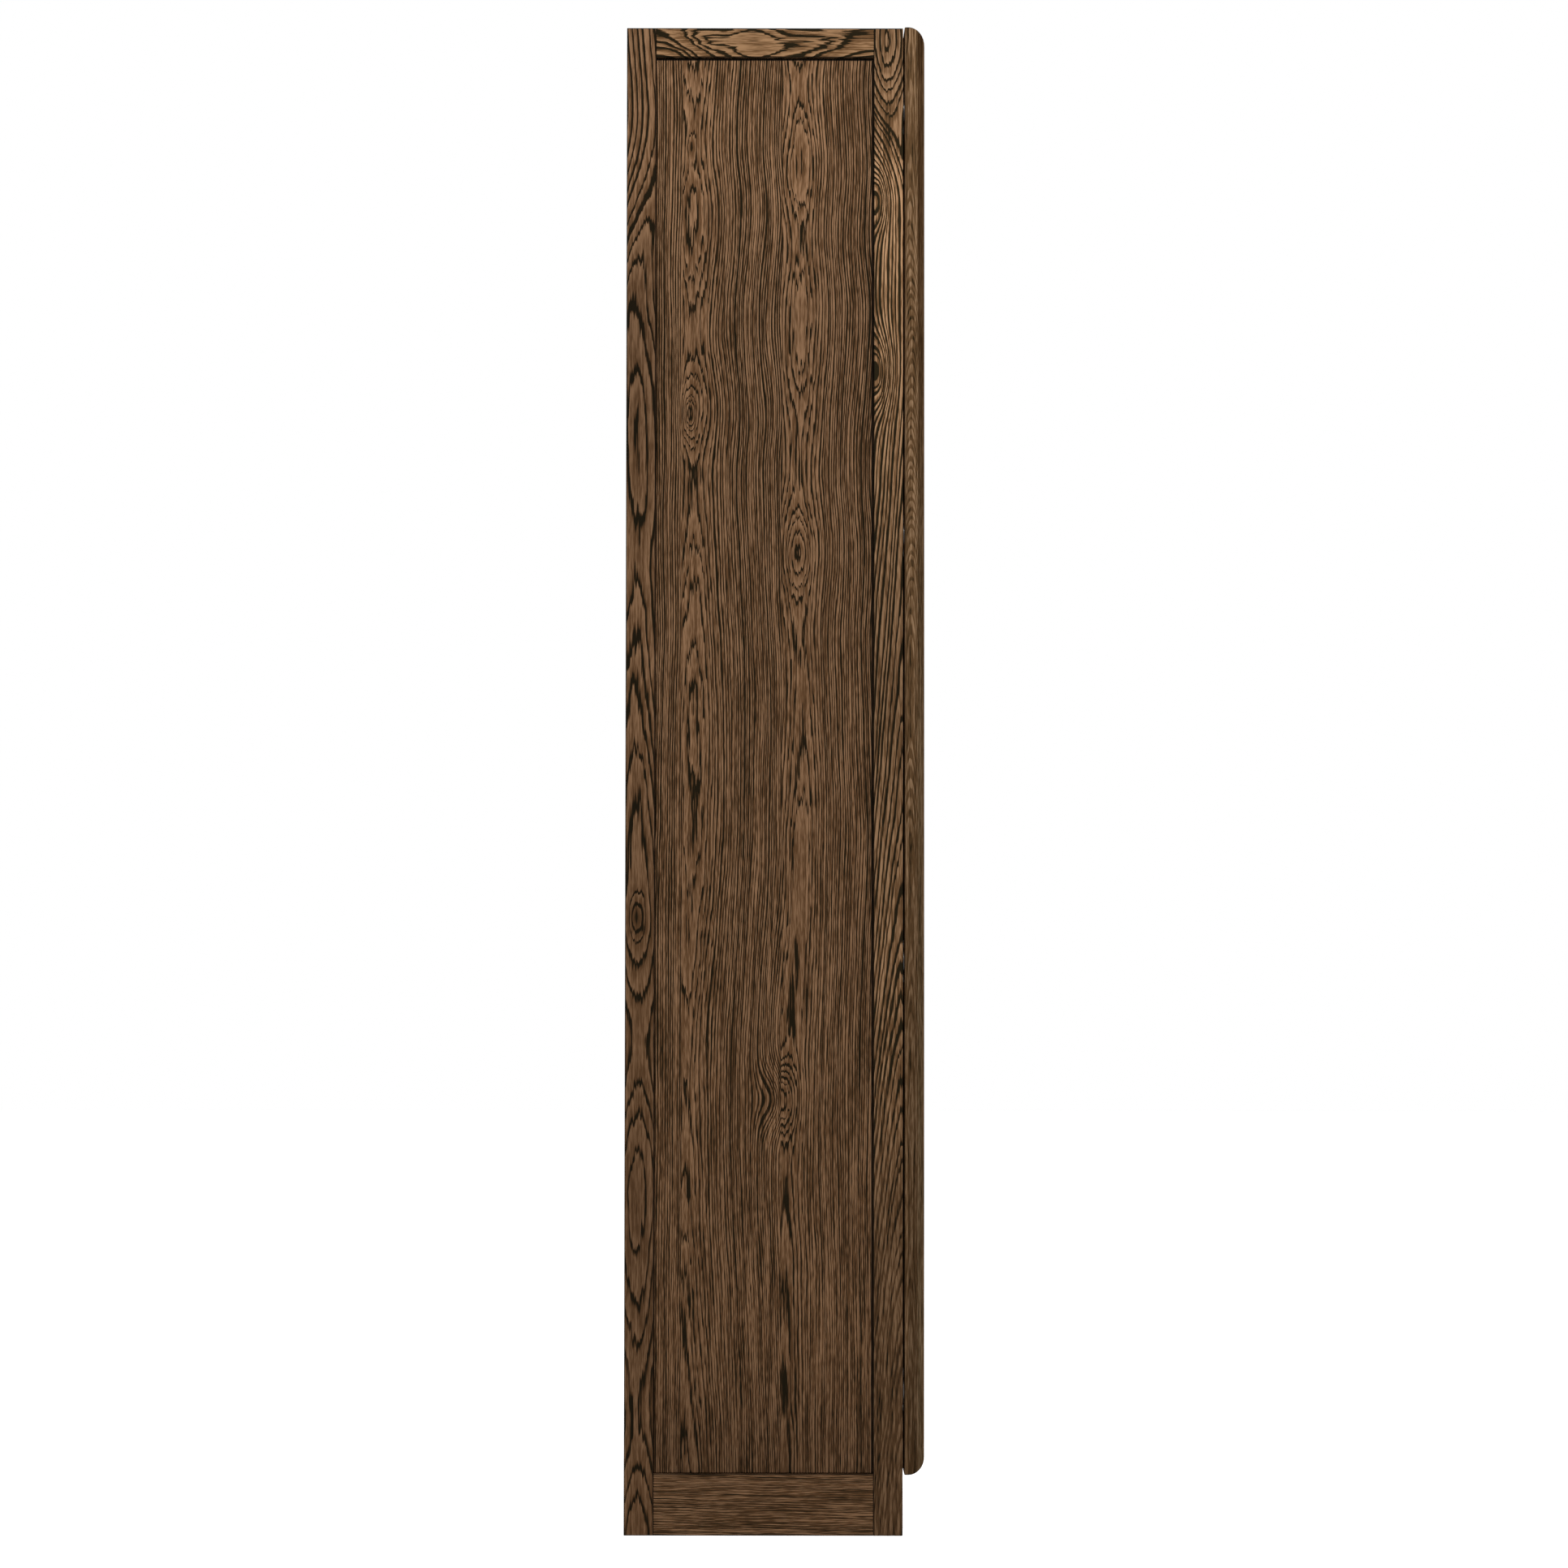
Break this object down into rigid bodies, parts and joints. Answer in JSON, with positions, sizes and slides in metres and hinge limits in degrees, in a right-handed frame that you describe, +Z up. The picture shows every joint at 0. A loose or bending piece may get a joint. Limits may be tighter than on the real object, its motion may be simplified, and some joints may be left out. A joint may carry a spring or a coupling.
{
  "type": "pantry cabinet",
  "caption": "Tall oak pantry cabinet with frame-and-panel sides, shelves and a pair of overlay doors with rounded edges on concealed cup hinges.",
  "frame": {"origin": "On the floor, in the middle of the width and of the whole depth with the doors shut.", "axes": "+Z up, the doors face -Y, +X to the right of someone who looks at the doors."},
  "size_m": [0.9, 0.397, 2.0015],
  "materials": {
    "oak": "dark-stained wire-brushed oak, matt oil finish",
    "oak_panel": "dark-stained oak panel glued up from wide leaves, matt oil finish",
    "oak_door": "dark-stained oak slab, rounded front edges, matt oil finish",
    "oak_board": "dark-stained oak board, matt oil finish",
    "oak_back": "thin oak-faced board, matt",
    "steel": "nickel-plated pressed steel, satin",
    "hinge_pin": "ground steel pin",
    "zinc_screw": "zinc-plated screw",
    "cam_zinc": "die-cast zinc, dull",
    "beech": "plain beech dowel",
    "catch_plastic": "dark brown moulded plastic",
    "magnet": "nickel-plated magnet block",
    "silicone": "clear soft bumper"
  },
  "bodies": {
    "case": {"left_rear_stile": "oak", "left_front_stile": "oak", "left_top_rail": "oak", "left_bottom_rail": "oak", "left_side_panel": "oak_panel", "right_rear_stile": "oak", "right_front_stile": "oak", "right_top_rail": "oak", "right_bottom_rail": "oak", "right_side_panel": "oak_panel", "top_board": "oak_board", "bottom_board": "oak_board", "fixed_shelf": "oak_board", "shelf_1": "oak_board", "shelf_2": "oak_board", "shelf_3": "oak_board", "shelf_4": "oak_board", "shelf_supports": "steel", "lower_back": "oak_back", "upper_back": "oak_back", "hanging_rail": "oak_board", "plinth_front": "oak", "plinth_rear": "oak_board", "plinth_bearer": "oak_board", "corner_blocks": "oak_board", "block_screws": "zinc_screw", "cam_locks": "cam_zinc", "cam_bolts": "zinc_screw", "top_dowels": "beech", "back_screws": "zinc_screw", "rail_dowels": "beech", "hinge_arms": "steel", "hinge_plates": "steel", "plate_screws": "zinc_screw", "arm_screws": "zinc_screw", "catch_housings": "catch_plastic", "catch_magnets": "magnet", "door_bumpers": "silicone"},
    "left_leaf": {"left_door": "oak_door", "left_hinge_cups": "steel", "left_hinge_pins": "hinge_pin", "left_cup_screws": "zinc_screw", "left_strike_plates": "steel", "strike_screws_left": "zinc_screw"},
    "right_leaf": {"right_door": "oak_door", "right_hinge_cups": "steel", "right_hinge_pins": "hinge_pin", "right_cup_screws": "zinc_screw", "right_strike_plates": "steel", "strike_screws_right": "zinc_screw"}
  },
  "joints": [
    {"name": "left_door_swing", "type": "hinge", "parent": "case", "child": "left_leaf", "pos_m": [-0.442, -0.1819, 1], "axis": [0, 0, -1], "range_deg": [0, 95]},
    {"name": "right_door_swing", "type": "hinge", "parent": "case", "child": "right_leaf", "pos_m": [0.442, -0.1819, 1], "axis": [0, 0, 1], "range_deg": [0, 95]}
  ]
}
